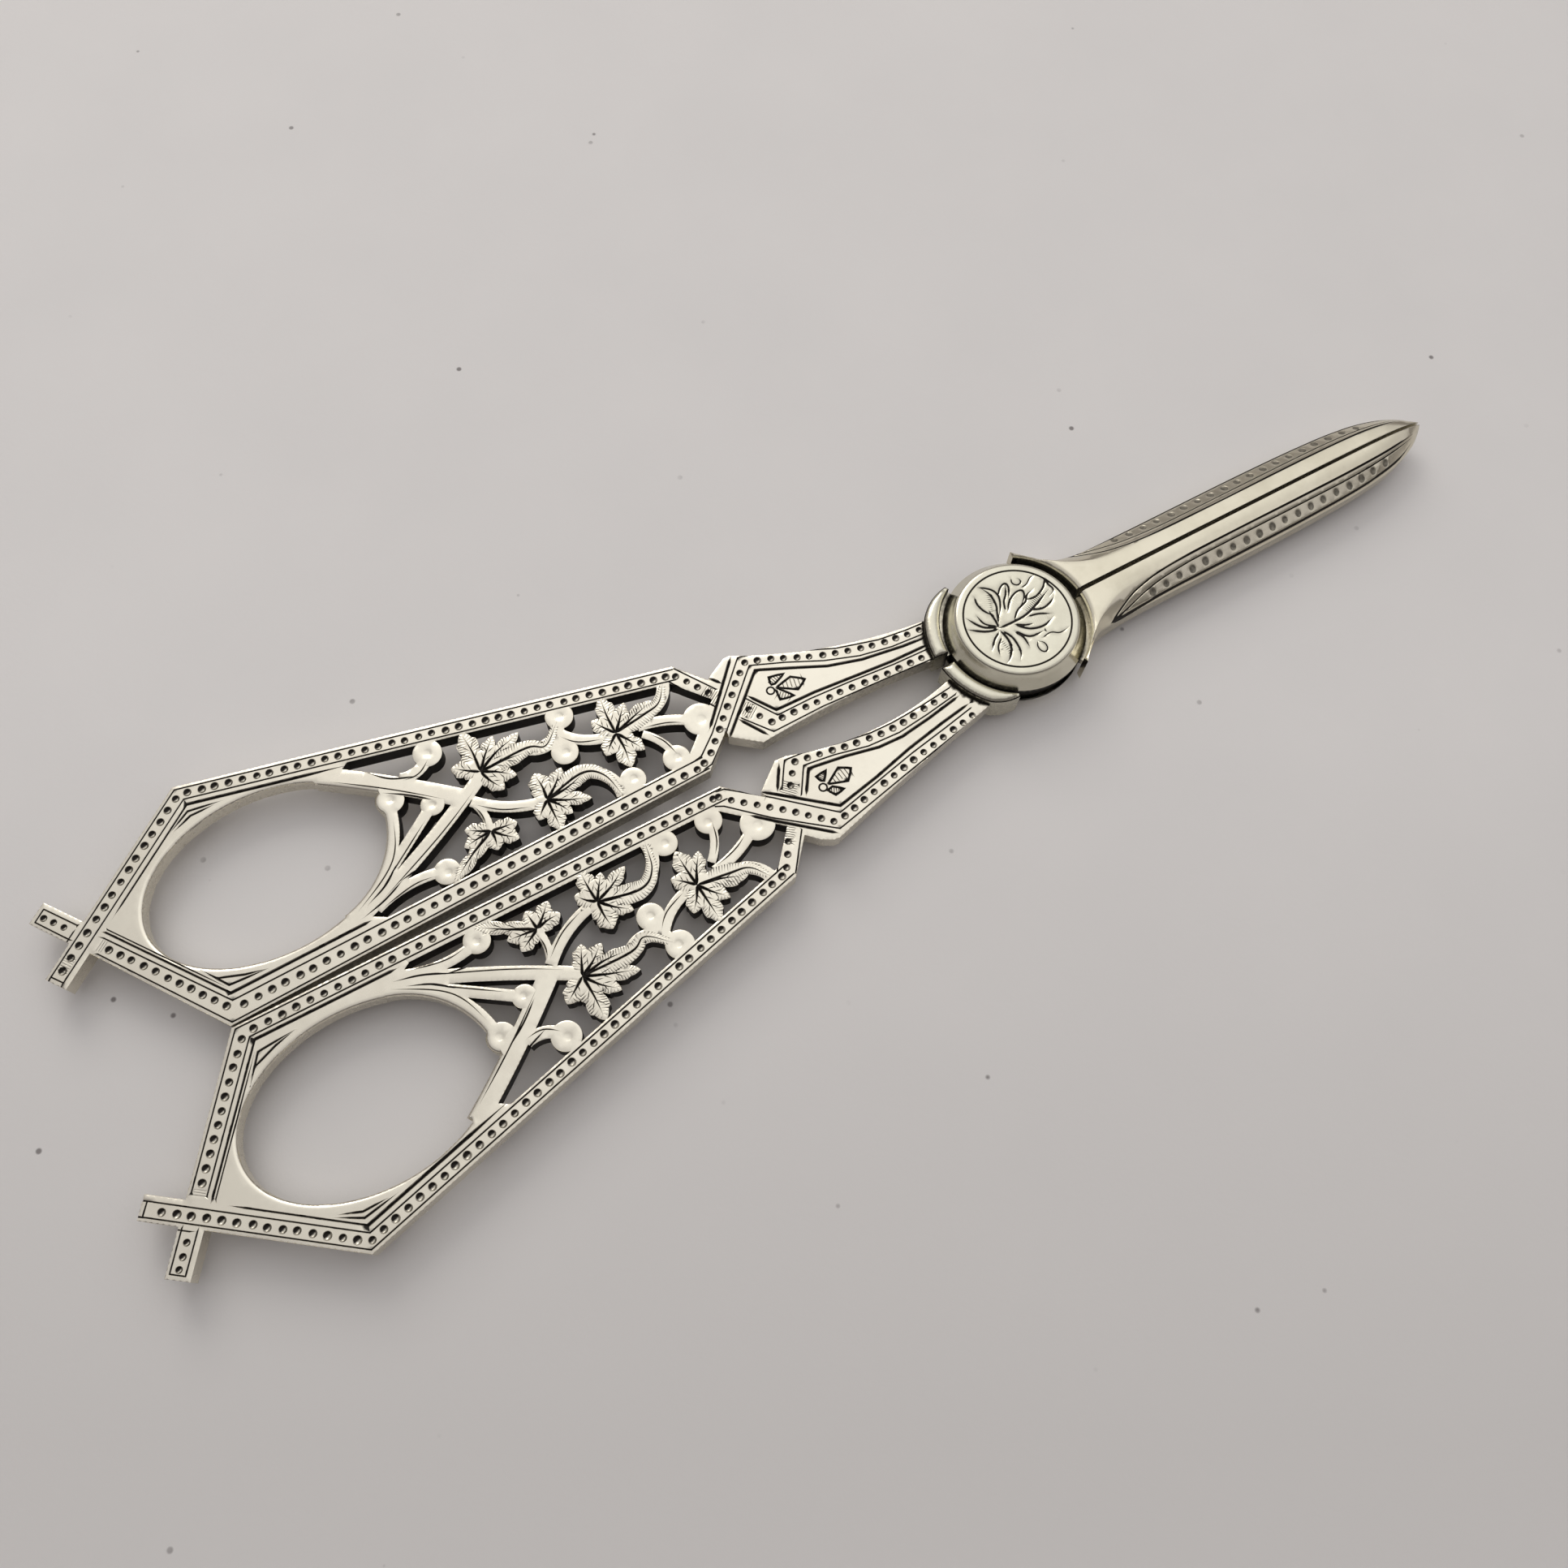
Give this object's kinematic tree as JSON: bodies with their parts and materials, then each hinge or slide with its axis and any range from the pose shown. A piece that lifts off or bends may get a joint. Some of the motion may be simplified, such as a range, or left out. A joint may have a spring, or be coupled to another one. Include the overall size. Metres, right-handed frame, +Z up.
{
  "type": "grape shears",
  "caption": "Silver grape shears with pierced vine-leaf handles in crossed strap borders, an engraved round joint and slim bevelled blades.",
  "frame": {"origin": "middle of the outline on the table, below the joint's lap, with the back boss standing on z = 0", "axes": "+Y along the closed blades to their tips, +Z up out of the engraved face, +X to the right of someone holding the handles"},
  "size_m": [0.0566, 0.1754, 0.0066],
  "materials": {
    "handle_silver": "polished silver, engraved, with dark tarnish in the cuts",
    "blade_silver": "polished silver with an engraved bevel",
    "joint_silver": "polished silver with light scratches",
    "screw_silver": "worn polished metal"
  },
  "bodies": {
    "right_half": {"right_handle": "handle_silver", "right_collar": "joint_silver", "left_blade": "blade_silver", "back_boss": "joint_silver"},
    "left_half": {"left_handle": "handle_silver", "left_collar": "joint_silver", "right_blade": "blade_silver", "front_boss": "joint_silver", "pivot_screw": "screw_silver"}
  },
  "joints": [
    {"name": "joint_pivot", "type": "hinge", "parent": "right_half", "child": "left_half", "pos_m": [0, 0.02545, 0.0033], "axis": [0, 0, -1], "range_deg": [0, 56]}
  ]
}
